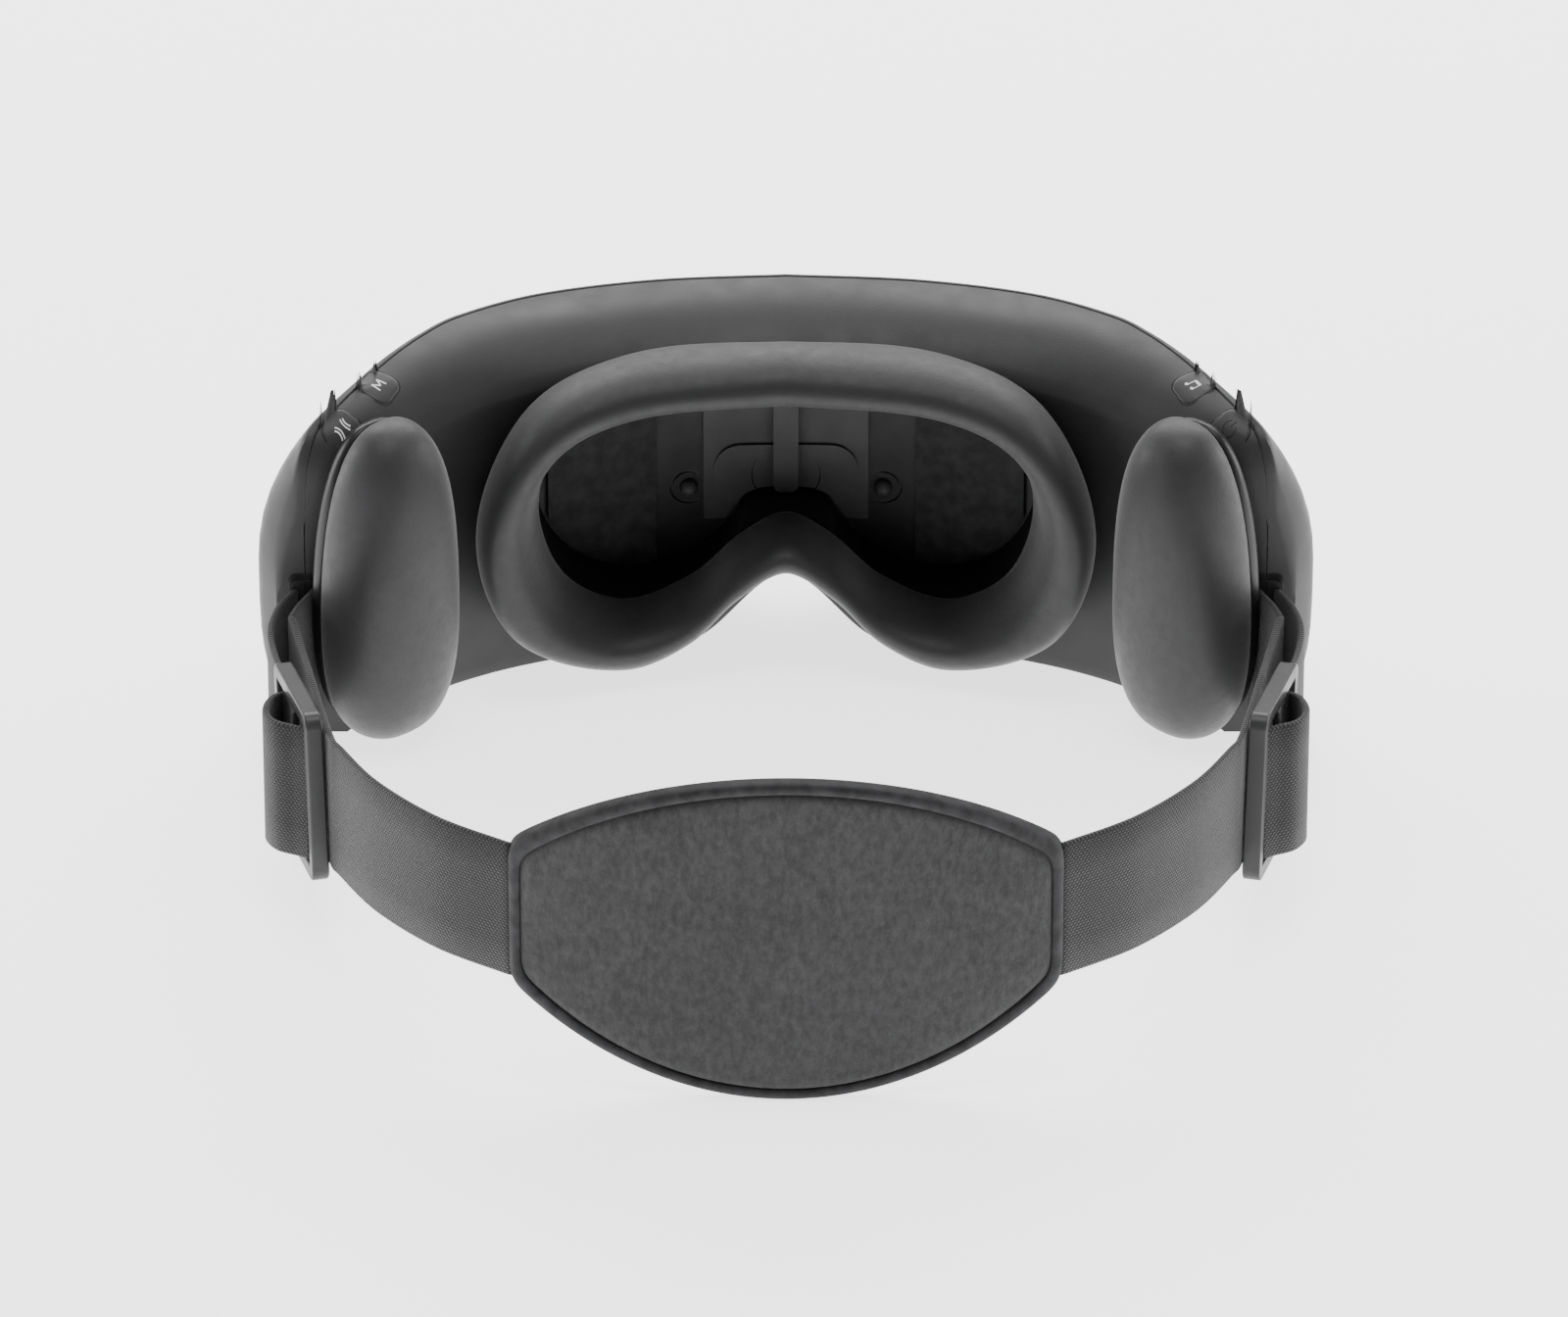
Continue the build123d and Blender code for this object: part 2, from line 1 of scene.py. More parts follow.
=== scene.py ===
"""Eye massager mask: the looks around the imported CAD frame.
Sizes are in millimetres in the part's drawing frame, where y = 0 is the top edge of the visor; P() turns them
into the shared frame in metres."""
import bmesh
import bpy
import math
from mathutils import Matrix, Vector
from mathutils.bvhtree import BVHTree


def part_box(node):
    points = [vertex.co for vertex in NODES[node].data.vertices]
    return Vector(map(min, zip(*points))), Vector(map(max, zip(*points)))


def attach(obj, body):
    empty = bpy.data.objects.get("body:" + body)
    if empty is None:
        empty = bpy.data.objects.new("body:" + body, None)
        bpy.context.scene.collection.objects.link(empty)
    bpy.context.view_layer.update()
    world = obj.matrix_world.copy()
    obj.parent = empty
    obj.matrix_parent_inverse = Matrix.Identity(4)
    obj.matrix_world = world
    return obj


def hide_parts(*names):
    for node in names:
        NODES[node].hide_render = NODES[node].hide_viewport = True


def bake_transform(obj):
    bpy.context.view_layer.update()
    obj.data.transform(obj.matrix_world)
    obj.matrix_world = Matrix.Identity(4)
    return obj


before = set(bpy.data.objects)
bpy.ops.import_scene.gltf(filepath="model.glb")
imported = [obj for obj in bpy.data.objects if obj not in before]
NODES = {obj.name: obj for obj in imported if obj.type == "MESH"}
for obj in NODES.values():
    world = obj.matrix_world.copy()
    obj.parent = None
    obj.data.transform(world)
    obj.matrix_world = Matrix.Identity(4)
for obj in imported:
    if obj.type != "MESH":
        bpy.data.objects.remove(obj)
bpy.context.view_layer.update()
MM = 0.001
FRONT_Y = 5.0
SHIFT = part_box("front_cover")[1].y / MM - FRONT_Y


def P(x, y, z):
    return Vector((x * MM, (y + SHIFT) * MM, z * MM))


# ---- shared sizes ---------------------------------------------------------------------------------
REAR_WALL = [(0, -22), (25, -24.2), (50.5, -32.2), (67, -40.5), (80, -51), (90, -60.5)]
CUSHION_FACE = [(0, -39), (30, -44), (50, -51), (66, -58.5)]
CUSHION_OUTER = [(0, 73), (34, 72), (54, 63), (64, 39), (57, 14), (36, 2), (21, 6), (10.5, 16.2), (0, 22.4)]
CUSHION_INNER = [(0, 61.5), (30, 61), (46, 55), (52, 40), (47, 22), (34, 13), (20, 17), (9.5, 26.5), (0, 31.4)]
LINER_RIM = [(0, 63), (31, 62.5), (47, 56.5), (53.5, 40), (49, 21), (35, 10.5), (20, 13), (9.5, 22.5), (0, 27.6)]
WEB_H, WEB_T = 30.0, 1.4
PIN_X, PIN_Y, PIN_Z, PIN_R = 98.4, -55.0, 19.0, 1.2
ARM_END_Y = -60.5
PAD_END_Y, PAD_CENTRE_Y, PAD_Z = -190.6, -202.4, 36.0
PAD_HALF_W, PAD_H, PAD_END_H, PAD_T = 54.4, 72.0, 31.0, 4.4
STRAP_RISE = (PAD_Z - PIN_Z) / (ARM_END_Y - PAD_END_Y)


# ---- curves and meshes ----------------------------------------------------------------------------
def catmull(points, steps, closed=False):
    """Smooth curve through the points, steps samples a span."""
    n = len(points)
    spans = n if closed else n - 1
    out = []
    for i in range(spans):
        if closed:
            p = [points[(i + k) % n] for k in (-1, 0, 1, 2)]
        else:
            p = [points[min(max(i + k, 0), n - 1)] for k in (-1, 0, 1, 2)]
        for s in range(steps):
            t = s / steps
            out.append(tuple(0.5 * (2 * b + (c - a) * t + (2 * a - 5 * b + 4 * c - d) * t * t
                                    + (3 * b - a - 3 * c + d) * t ** 3) for a, b, c, d in zip(*p)))
    if not closed:
        out.append(tuple(points[-1]))
    return out


def resample(points, count, closed=False):
    """The same curve with evenly spaced points."""
    pts = [Vector(p) for p in points]
    if closed:
        pts.append(pts[0])
    lengths = [0.0]
    for a, b in zip(pts, pts[1:]):
        lengths.append(lengths[-1] + (b - a).length)
    total = lengths[-1]
    out = []
    j = 0
    for i in range(count):
        target = total * i / (count if closed else count - 1)
        while j < len(lengths) - 2 and lengths[j + 1] < target:
            j += 1
        span = max(lengths[j + 1] - lengths[j], 1e-9)
        out.append(pts[j].lerp(pts[j + 1], (target - lengths[j]) / span))
    return out


def loop_from_half(half, count):
    """Closed curve from one half that runs from the top centre to the bottom centre."""
    mirror = [(-x, z) for x, z in reversed(half[1:-1])]
    return resample(catmull(half + mirror, 12, closed=True), count, closed=True)


def plan_y(curve, x):
    """y of a plan curve at x."""
    x = abs(x)
    for (x0, y0), (x1, y1) in zip(curve, curve[1:]):
        if x <= x1:
            return y0 + (y1 - y0) * (x - x0) / (x1 - x0)
    (x0, y0), (x1, y1) = curve[-2:]
    return y0 + (y1 - y0) * (x - x0) / (x1 - x0)


REAR_FINE = catmull(REAR_WALL, 10)
FACE_FINE = catmull(CUSHION_FACE, 10)


def grid_mesh(name, rows, close_u=False, close_v=False, cap=False, uv=None):
    """Mesh from a grid of points in millimetres: rows[v][u]. uv is a function of (u, v) indexes."""
    nv, nu = len(rows), len(rows[0])
    verts = [P(*p) for row in rows for p in row]
    faces = []
    corners = []
    for v in range(nv if close_v else nv - 1):
        for u in range(nu if close_u else nu - 1):
            quad = [(u, v), (u + 1, v), (u + 1, v + 1), (u, v + 1)]
            faces.append([(b % nv) * nu + a % nu for a, b in quad])
            corners.append(quad)
    if cap:
        faces.append([u for u in range(nu)][::-1])
        faces.append([(nv - 1) * nu + u for u in range(nu)])
    mesh = bpy.data.meshes.new(name)
    mesh.from_pydata(verts, [], faces)
    if uv:
        layer = mesh.uv_layers.new(name="UVMap")
        flat = [uv(*c) for quad in corners for c in quad]
        for i, value in enumerate(flat):
            layer.data[i].uv = value
    return finish_mesh(name, mesh)


def finish_mesh(name, mesh):
    bm = bmesh.new()
    bm.from_mesh(mesh)
    bmesh.ops.recalc_face_normals(bm, faces=bm.faces)
    bm.to_mesh(mesh)
    bm.free()
    for polygon in mesh.polygons:
        polygon.use_smooth = True
    piece = bpy.data.objects.new(name, mesh)
    bpy.context.scene.collection.objects.link(piece)
    return piece


def flip(piece, name):
    """Mirror image of a piece, as its own mesh."""
    mesh = piece.data.copy()
    mesh.transform(Matrix.Scale(-1, 4, (1, 0, 0)))
    mesh.flip_normals()
    other = bpy.data.objects.new(name, mesh)
    bpy.context.scene.collection.objects.link(other)
    for modifier in piece.modifiers:
        copy = other.modifiers.new(modifier.name, modifier.type)
        for prop in modifier.bl_rna.properties:
            if not prop.is_readonly:
                setattr(copy, prop.identifier, getattr(modifier, prop.identifier))
    return other


def subdivide(piece, levels=1):
    m = piece.modifiers.new("subdivision", "SUBSURF")
    m.levels = levels
    m.render_levels = levels
    return piece


def bevel(piece, width, segments=3, angle=35):
    m = piece.modifiers.new("bevel", "BEVEL")
    m.width = width * MM
    m.segments = segments
    m.limit_method = "ANGLE"
    m.angle_limit = math.radians(angle)
    return piece


def refined(node, name, width, segments=3):
    """A CAD part's mesh with its flat faces joined and its edges rounded."""
    mesh = NODES[node].data.copy()
    bm = bmesh.new()
    bm.from_mesh(mesh)
    bmesh.ops.remove_doubles(bm, verts=bm.verts, dist=1e-6)
    bmesh.ops.dissolve_limit(bm, angle_limit=math.radians(1.0), verts=bm.verts, edges=bm.edges)
    bm.to_mesh(mesh)
    bm.free()
    mesh.materials.clear()
    piece = finish_mesh(name, mesh)
    bevel(piece, width, segments)
    weighted = piece.modifiers.new("normals", "WEIGHTED_NORMAL")
    weighted.keep_sharp = True
    return piece


def place(piece, material, body, nodes, bend=None):
    """Gives a piece its material, body and CAD nodes. When bend is given, the piece gets no body and
    only has its transform baked; the two points in bend are not used."""
    piece.data.materials.clear()
    piece.data.materials.append(MATERIAL[material])
    if bend:
        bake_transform(piece)
    else:
        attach(piece, body)
    if nodes:
        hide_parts(*nodes)
    return piece


# ---- materials ------------------------------------------------------------------------------------
class Surface:
    """Small helper that builds a node material around one Principled shader."""

    def __init__(self, name, color, roughness, **sockets):
        self.material = bpy.data.materials.new(name)
        self.material.use_nodes = True
        self.tree = self.material.node_tree
        self.shader = self.tree.nodes["Principled BSDF"]
        self.shader.inputs["Base Color"].default_value = (*color, 1)
        self.shader.inputs["Roughness"].default_value = roughness
        self.shader.inputs["Specular IOR Level"].default_value = 0.32
        for socket, value in sockets.items():
            self.shader.inputs[socket.replace("_", " ")].default_value = value
        self.height = None

    def node(self, kind, **values):
        made = self.tree.nodes.new(kind)
        for key, value in values.items():
            if key in made.inputs:
                made.inputs[key].default_value = value
            else:
                setattr(made, key, value)
        return made

    def link(self, a, b):
        self.tree.links.new(a, b)

    def coordinates(self, scale, kind="Object", stretch=(1, 1, 1)):
        source = self.node("ShaderNodeTexCoord").outputs[kind]
        mapping = self.node("ShaderNodeMapping")
        mapping.inputs["Scale"].default_value = [scale * s for s in stretch]
        self.link(source, mapping.inputs["Vector"])
        return mapping.outputs["Vector"]

    def noise(self, scale, detail=4.0, roughness=0.55, kind="Object", stretch=(1, 1, 1)):
        n = self.node("ShaderNodeTexNoise", Scale=1.0, Detail=detail, Roughness=roughness)
        self.link(self.coordinates(scale, kind, stretch), n.inputs["Vector"])
        return n.outputs["Fac"]

    def ramp(self, fac, stops):
        r = self.node("ShaderNodeValToRGB")
        while len(r.color_ramp.elements) < len(stops):
            r.color_ramp.elements.new(0.5)
        for element, (position, color) in zip(r.color_ramp.elements, stops):
            element.position = position
            element.color = (*color, 1) if isinstance(color, tuple) else (color, color, color, 1)
        self.link(fac, r.inputs["Fac"])
        return r.outputs["Color"]

    def bump(self, fac, distance, strength=1.0):
        b = self.node("ShaderNodeBump", Strength=strength, Distance=distance * MM)
        self.link(fac, b.inputs["Height"])
        if self.height is not None:
            self.link(self.height, b.inputs["Normal"])
        self.height = b.outputs["Normal"]
        self.link(self.height, self.shader.inputs["Normal"])
        return self

    def color(self, output):
        self.link(output, self.shader.inputs["Base Color"])
        return self

    def roughness(self, output):
        self.link(output, self.shader.inputs["Roughness"])
        return self

    def math(self, operation, a, b):
        m = self.node("ShaderNodeMath", operation=operation)
        for socket, value in zip(m.inputs, (a, b)):
            if isinstance(value, (int, float)):
                socket.default_value = value
            else:
                self.link(value, socket)
        return m.outputs["Value"]


def moulded(name, dark, light, roughness, grain=0.02, coat=0.0):
    """Satin moulded plastic: fine spark-eroded grain and slight tone changes."""
    s = Surface(name, light, roughness, Coat_Weight=coat)
    s.color(s.ramp(s.noise(45, 3), [(0.35, dark), (0.7, light)]))
    s.roughness(s.ramp(s.noise(160, 3), [(0.3, roughness - 0.05), (0.7, roughness + 0.06)]))
    s.bump(s.noise(2600, 2), grain)
    return s.material


def skin_leather(name, dark, light, roughness):
    """Soft coated leather with fine pebbled grain."""
    s = Surface(name, light, roughness, Sheen_Weight=0.25, Sheen_Roughness=0.45)
    pebble = s.node("ShaderNodeTexVoronoi", Scale=1.0, feature="SMOOTH_F1")
    s.link(s.coordinates(1500), pebble.inputs["Vector"])
    s.color(s.ramp(s.noise(60, 4), [(0.3, dark), (0.72, light)]))
    s.roughness(s.ramp(s.noise(500, 3), [(0.3, roughness - 0.06), (0.7, roughness + 0.08)]))
    s.bump(pebble.outputs["Distance"], 0.035, 0.7)
    s.bump(s.noise(180, 3), 0.05, 0.5)
    return s.material


def woven(name, dark, light, rib=0.95, pitch=0.62):
    """Elastic webbing: cross ribs of thread on a fine knit, in the piece's own UV millimetres."""
    s = Surface(name, light, 0.82, Sheen_Weight=0.2, Sheen_Roughness=0.5)
    uv = s.node("ShaderNodeUVMap", uv_map="UVMap").outputs["UV"]
    split = s.node("ShaderNodeSeparateXYZ")
    s.link(uv, split.inputs["Vector"])
    u, v = split.outputs["X"], split.outputs["Y"]
    shifted = s.math("ADD", u, s.math("MULTIPLY", s.math("ROUND", s.math("DIVIDE", v, pitch), 0.0), rib / 2))
    wave_u = s.math("SINE", s.math("MULTIPLY", shifted, 2 * math.pi / rib), 0.0)
    wave_v = s.math("COSINE", s.math("MULTIPLY", v, 2 * math.pi / pitch), 0.0)
    knit = s.math("MULTIPLY", s.math("ADD", wave_u, 1.0), s.math("ADD", wave_v, 1.0))
    knit = s.math("MULTIPLY", knit, 0.25)
    fluff = s.noise(1800, 3)
    mixed = s.math("ADD", s.math("MULTIPLY", knit, 0.75), s.math("MULTIPLY", fluff, 0.35))
    s.color(s.ramp(mixed, [(0.12, dark), (0.75, light)]))
    s.bump(mixed, 0.22, 0.9)
    return s.material


def suede(name, dark, light):
    """Brushed panel with tonal clouds and short upright creases."""
    s = Surface(name, light, 0.78, Sheen_Weight=0.3, Sheen_Roughness=0.5)
    clouds = s.noise(30, 5, 0.6)
    crease = s.noise(760, 5, 0.7, stretch=(1.0, 1.0, 0.55))
    fine = s.noise(1900, 3, 0.6)
    tone = s.math("ADD", s.math("MULTIPLY", clouds, 0.55), s.math("MULTIPLY", crease, 0.42))
    s.color(s.ramp(tone, [(0.38, dark), (0.68, light)]))
    s.roughness(s.ramp(crease, [(0.35, 0.86), (0.66, 0.6)]))
    s.bump(crease, 0.28, 0.65)
    s.bump(fine, 0.05, 0.6)
    return s.material


def steel(name, tone, roughness):
    s = Surface(name, (tone, tone, tone), roughness, Metallic=1.0)
    s.roughness(s.ramp(s.noise(400, 3, stretch=(1, 1, 12)), [(0.3, roughness), (0.7, roughness + 0.12)]))
    s.bump(s.noise(900, 2, stretch=(1, 1, 10)), 0.008)
    return s.material


def speckled(name, dark, light, roughness):
    """Plain working surface of a hidden piece, with a little grain."""
    s = Surface(name, light, roughness)
    s.color(s.ramp(s.noise(300, 4), [(0.35, dark), (0.65, light)]))
    s.bump(s.noise(1500, 2), 0.02)
    return s.material


MATERIAL = {
    "visor": moulded("visor_plastic", (0.034, 0.034, 0.035), (0.040, 0.040, 0.042), 0.42),
    "housing": moulded("housing_plastic", (0.030, 0.030, 0.031), (0.036, 0.036, 0.037), 0.46, 0.03),
    "button": moulded("button_plastic", (0.034, 0.034, 0.035), (0.042, 0.042, 0.043), 0.42, 0.02),
    "liner": moulded("liner_plastic", (0.010, 0.010, 0.010), (0.014, 0.014, 0.015), 0.5),
    "panel": moulded("centre_panel_plastic", (0.040, 0.040, 0.041), (0.052, 0.052, 0.053), 0.5),
    "heat": speckled("heat_panel_weave", (0.010, 0.010, 0.011), (0.026, 0.026, 0.028), 0.7),
    # Black plastic of the retaining ring; the slot and inlet plates and the button gap bands also use it as painted
    # shade.
    "ring": moulded("retaining_ring_plastic", (0.006, 0.006, 0.006), (0.009, 0.009, 0.009), 0.35),
    "plate": moulded("temple_plate_plastic", (0.008, 0.008, 0.008), (0.012, 0.012, 0.012), 0.35),
    "cushion": skin_leather("cushion_leather", (0.022, 0.022, 0.023), (0.030, 0.030, 0.031), 0.5),
    "temple": skin_leather("temple_leather", (0.026, 0.026, 0.027), (0.034, 0.034, 0.036), 0.48),
    "webbing": woven("elastic_webbing", (0.004, 0.004, 0.004), (0.022, 0.022, 0.023)),
    "buckle": moulded("buckle_plastic", (0.030, 0.030, 0.031), (0.040, 0.040, 0.041), 0.38),
    "panel_suede": suede("rear_panel_suede", (0.012, 0.012, 0.013), (0.027, 0.027, 0.029)),
    "binding": speckled("binding_fabric", (0.012, 0.012, 0.013), (0.030, 0.030, 0.032), 0.75),
    "steel": steel("ground_steel", 0.5, 0.3),
    "black_steel": steel("blackened_steel", 0.12, 0.35),
    "board": speckled("board_solder_mask", (0.01, 0.06, 0.03), (0.015, 0.09, 0.045), 0.35),
    "film": speckled("battery_film", (0.08, 0.12, 0.25), (0.10, 0.15, 0.30), 0.4),
    "inside": speckled("inside_plastic", (0.10, 0.10, 0.10), (0.14, 0.14, 0.14), 0.5),
    "silicone": speckled("hose_silicone", (0.5, 0.5, 0.5), (0.6, 0.6, 0.6), 0.45),
    "ink": speckled("icon_ink", (0.75, 0.75, 0.75), (0.85, 0.85, 0.85), 0.5),
    # Near-black flat mark for the engraved power icon: painted shade of the groove.
    "dark_ink": speckled("icon_engraving", (0.008, 0.008, 0.008), (0.012, 0.012, 0.012), 0.6),
}

CARRIED = {
    "front_cover": "visor", "rear_housing": "housing", "inner_liner": "liner", "centre_panel": "panel",
    "pill_cover": "panel", "latch_seat": "panel", "centre_latch": "panel", "cushion_frame": "ring",
    "main_board": "board", "battery": "film", "air_valve": "inside", "air_hose": "silicone",
    "vibration_motor": "steel", "charging_port": "steel", "heat_panel": "heat", "dome": "panel",
    "temple_plate": "plate", "strap_pin": "steel", "air_pump": "steel", "speaker": "inside",
    "button_board": "board", "front_switch": "inside", "rear_switch": "inside", "mode_button": "button",
    "squeeze_button": "button", "music_button": "button", "power_button": "button", "buckle": "buckle",
    "rear_pad_core": "binding", "rear_pad_backing": "panel_suede", "rear_pad_panel": "panel_suede",
    "rear_pad_binding": "binding",
}


def dress_cad_nodes():
    """Every CAD part that stays gets a finished material."""
    for node, piece in NODES.items():
        kind = node.replace("left_", "").replace("right_", "")
        kind = "black_steel" if kind.startswith("housing_screw") else CARRIED.get(kind)
        if kind is None:
            continue
        piece.data.materials.clear()
        piece.data.materials.append(MATERIAL[kind])


# ---- housing shells -----------------------------------------------------------------------------------
HEIGHT, CREASE_Z = 75.0, 67.0
SEAM_INSET, SEAM_GAP = 1.2, 0.16
TOP_EDGE = [(0, 0), (27, -2.2), (51, -8.3), (67.5, -17.5), (75.4, -24.7), (83.2, -34),
            (88.5, -41.3), (94, -49.3), (97.5, -54.5), (100.4, ARM_END_Y)]
WIDEST = [(0, FRONT_Y), (29, 2.6), (55, -5), (73, -14.5), (84, -22.5), (94, -31.5),
          (101, -40), (107, -49.5), (108.3, -55), (104.6, ARM_END_Y)]
ARM_FALL = [(-8, 75.0), (-18, 75.0), (-25, 74.5), (-32, 73.6), (-38.5, 72.4), (-47, 70.8), (-53, 69.1),
            (-57, 66.3), (-59.3, 61.8), (-60.2, 56.5), (-60.5, 50.5)]
NOSE_TOP, NOSE_HALF_W = 15.5, 19.0
STATIONS = 170
OPENING = [(p.x, p.y) for p in loop_from_half(LINER_RIM, 120)]


def smooth(t):
    t = min(max(t, 0.0), 1.0)
    return t * t * (3 - 2 * t)


FALL_FINE = catmull(ARM_FALL, 8)


def arm_top(y):
    """Height of the housing's top over the arms."""
    if y >= FALL_FINE[0][0]:
        return HEIGHT
    for (y0, z0), (y1, z1) in zip(FALL_FINE, FALL_FINE[1:]):
        if y >= y1:
            return z0 + (z1 - z0) * (y - y0) / (y1 - y0)
    return ARM_FALL[-1][1]


def lowered(x, y, z):
    """The arms' top falls rearwards and the nose notch lifts the underside, both with smooth sides."""
    z -= (HEIGHT - arm_top(y)) * smooth((z - 18) / (HEIGHT - 18))
    notch = NOSE_TOP * (1 - smooth(abs(x) / (NOSE_HALF_W + 2))) if abs(x) < NOSE_HALF_W + 2 else 0.0
    return z + notch * (1 - z / HEIGHT) ** 2


def barrel(z):
    """Share of the swelling from the top edge to the widest level; the base stays wider."""
    level = (z - HEIGHT / 2) / (HEIGHT / 2)
    return max(0.0, 1 - level ** 2.4) if level > 0 else 1 - 0.7 * level ** 4


def plan_line(points):
    """Points from the centre line to the arm's end, closer together towards the end."""
    fine = 12000
    curve = resample(catmull(points, 14), fine)
    return [curve[round((fine - 1) * (1 - (1 - k / (STATIONS - 1)) ** 1.35))] for k in range(STATIONS)]


def inward(line, distance):
    """A plan line moved rearwards or inwards by distance."""
    out = []
    for k, p in enumerate(line):
        a, b = line[max(k - 1, 0)], line[min(k + 1, len(line) - 1)]
        t = (b - a).normalized() if (b - a).length > 1e-6 else Vector((0, -1))
        out.append(Vector((p.x + t.y * distance, p.y - t.x * distance)))
    out[0] = Vector((0, line[0].y - distance))
    return out


TOP_LINE = plan_line(TOP_EDGE)
WIDE_LINE = plan_line(WIDEST)
REAR_LINE = plan_line(REAR_WALL)
SEAM_LINE = [p.lerp(q, 1 + 0.7 * smooth((k / (STATIONS - 1) - 0.5) / 0.5))
             for k, (p, q) in enumerate(zip(TOP_LINE, inward(TOP_LINE, SEAM_INSET)))]
SEAM_LINE[-1].y = ARM_END_Y
SEAM_STOP_X = SEAM_LINE[-1].x


def mirrored_rows(rows):
    """Half rows, one per profile step, each from the centre line outwards, joined to their mirror image."""
    return [[(-x, y, z) for x, y, z in reversed(row[1:])] + list(row) for row in rows]


def front_rows():
    levels = [75.0, 74.6, 73.6, 72, 70, 67, 63, 58, 52, 46, 40, 34, 28, 22, 17, 12, 8, 5, 3, 1.6, 0.7, 0.2, 0.0]
    rows = []
    for drop in (1.4, 0.25, 0.0):
        gap = SEAM_GAP / 2 if drop else SEAM_GAP / 2 + 0.2
        line = [s.lerp(t, gap / SEAM_INSET) for s, t in zip(SEAM_LINE, TOP_LINE)]
        rows.append([(p.x, p.y, HEIGHT - drop) for p in line])
    rows.append([(t.x * 0.6 + s.x * 0.4, t.y * 0.6 + s.y * 0.4, HEIGHT) for s, t in zip(SEAM_LINE, TOP_LINE)])
    for z in levels:
        share = barrel(z)
        pull = 0.35 if z == 75.0 else 0.12 if z == 74.6 else 0.9 if z == 0.0 else 0.45 if z == 0.2 else 0.0
        line = inward([t.lerp(w, share) for t, w in zip(TOP_LINE, WIDE_LINE)], pull)
        rows.append([(p.x, p.y, z) for p in line])
    seam = [(p.x, p.y, 0.0) for p in [s.lerp(t, SEAM_GAP / SEAM_INSET) for s, t in zip(SEAM_LINE, TOP_LINE)]]
    rows.append(seam)
    rows.append([(x, y, 1.2) for x, y, z in seam])
    out = []
    for row in rows:
        end_x = row[-1][0]
        stop = SEAM_STOP_X + SEAM_GAP
        tail = [(end_x + (stop - end_x) * t, ARM_END_Y, row[-1][2]) for t in (0.15, 0.4, 0.7, 1.0)]
        out.append([(x, max(y, ARM_END_Y), lowered(x, y, z)) for x, y, z in list(row) + tail])
    return mirrored_rows(out)


def crown_point(k, u):
    """Point of the top surface at a station, u from the front edge (0) to the crease (1)."""
    front, rear = TOP_LINE[k], REAR_LINE[k]
    power = 2.2 + 1.0 * smooth(front.x / 90)
    p = front.lerp(rear, u)
    return p.x, p.y, HEIGHT - (HEIGHT - CREASE_Z) * u ** power


def rear_rows():
    rows = []
    shares = []
    for k in range(STATIONS):
        width = max((REAR_LINE[k] - TOP_LINE[k]).length, 1.0)
        shares.append(min((SEAM_LINE[k] - TOP_LINE[k]).length + SEAM_GAP / 2, width * 0.9) / width)
    rows.append([(*crown_point(k, s)[:2], crown_point(k, s)[2] - 1.4) for k, s in enumerate(shares)])
    rows.append([(*crown_point(k, s)[:2], crown_point(k, s)[2] - 0.2) for k, s in enumerate(shares)])
    for t in [0.0] + [(j + 1) / 22 for j in range(21)]:
        nudge = 0.012 if t == 0.0 else 0.0
        rows.append([crown_point(k, s + nudge + (0.985 - s - nudge) * t) for k, s in enumerate(shares)])
    wall = [(66.4, -0.15), (65.8, 0.0)] + [(64.6 - 1.4 * k, 0.0) for k in range(45)]
    wall += [(1.0, 0.0), (0.3, -0.25), (0.0, -0.8)]
    for z, out_by in wall:
        rows.append([(p.x, p.y, z) for p in inward(REAR_LINE, out_by)])
    rows.append([(p.x, p.y, 0.0) for p in [s.lerp(r, 0.5) for s, r in zip(SEAM_LINE, REAR_LINE)]])
    rows.append([(p.x, p.y, 0.0) for p in inward(SEAM_LINE, SEAM_GAP)])
    rows.append([(p.x, p.y, 1.2) for p in inward(SEAM_LINE, SEAM_GAP)])
    fixed = []
    for row in rows:
        x, y, z = row[-1]
        fixed.append([(a, max(b, ARM_END_Y), lowered(a, b, c)) for a, b, c in list(row[:-1]) + [(x, ARM_END_Y, z)]])
    return mirrored_rows(fixed)


def inside_opening(x, z):
    """Whether a point of the rear wall lies under the face cushion's ring."""
    inside = False
    for (x0, z0), (x1, z1) in zip(OPENING, OPENING[1:] + OPENING[:1]):
        if (z0 > z) != (z1 > z) and x < x0 + (x1 - x0) * (z - z0) / (z1 - z0):
            inside = not inside
    return inside


def shell(name, rows, is_rear):
    """Moulded shell as a smooth surface. The rear one is closed at the arm ends and open behind the cushion."""
    piece = grid_mesh(name, rows)
    bm = bmesh.new()
    bm.from_mesh(piece.data)
    if is_rear:
        bm.verts.ensure_lookup_table()
        width = len(rows[0])
        for column in (0, width - 1):
            bm.faces.new([bm.verts[r * width + column] for r in range(len(rows))])
        centres = [(f, f.calc_center_median() / MM) for f in bm.faces if abs(f.normal.z) < 0.5]
        open_faces = [f for f, c in centres if c.y - SHIFT < -15 and inside_opening(c.x, c.z)]
        bmesh.ops.delete(bm, geom=open_faces, context="FACES")
    bmesh.ops.remove_doubles(bm, verts=bm.verts, dist=1e-5)
    bmesh.ops.recalc_face_normals(bm, faces=bm.faces)
    bm.to_mesh(piece.data)
    bm.free()
    for polygon in piece.data.polygons:
        polygon.use_smooth = True
    piece.data.set_sharp_from_angle(angle=math.radians(34))
    return piece


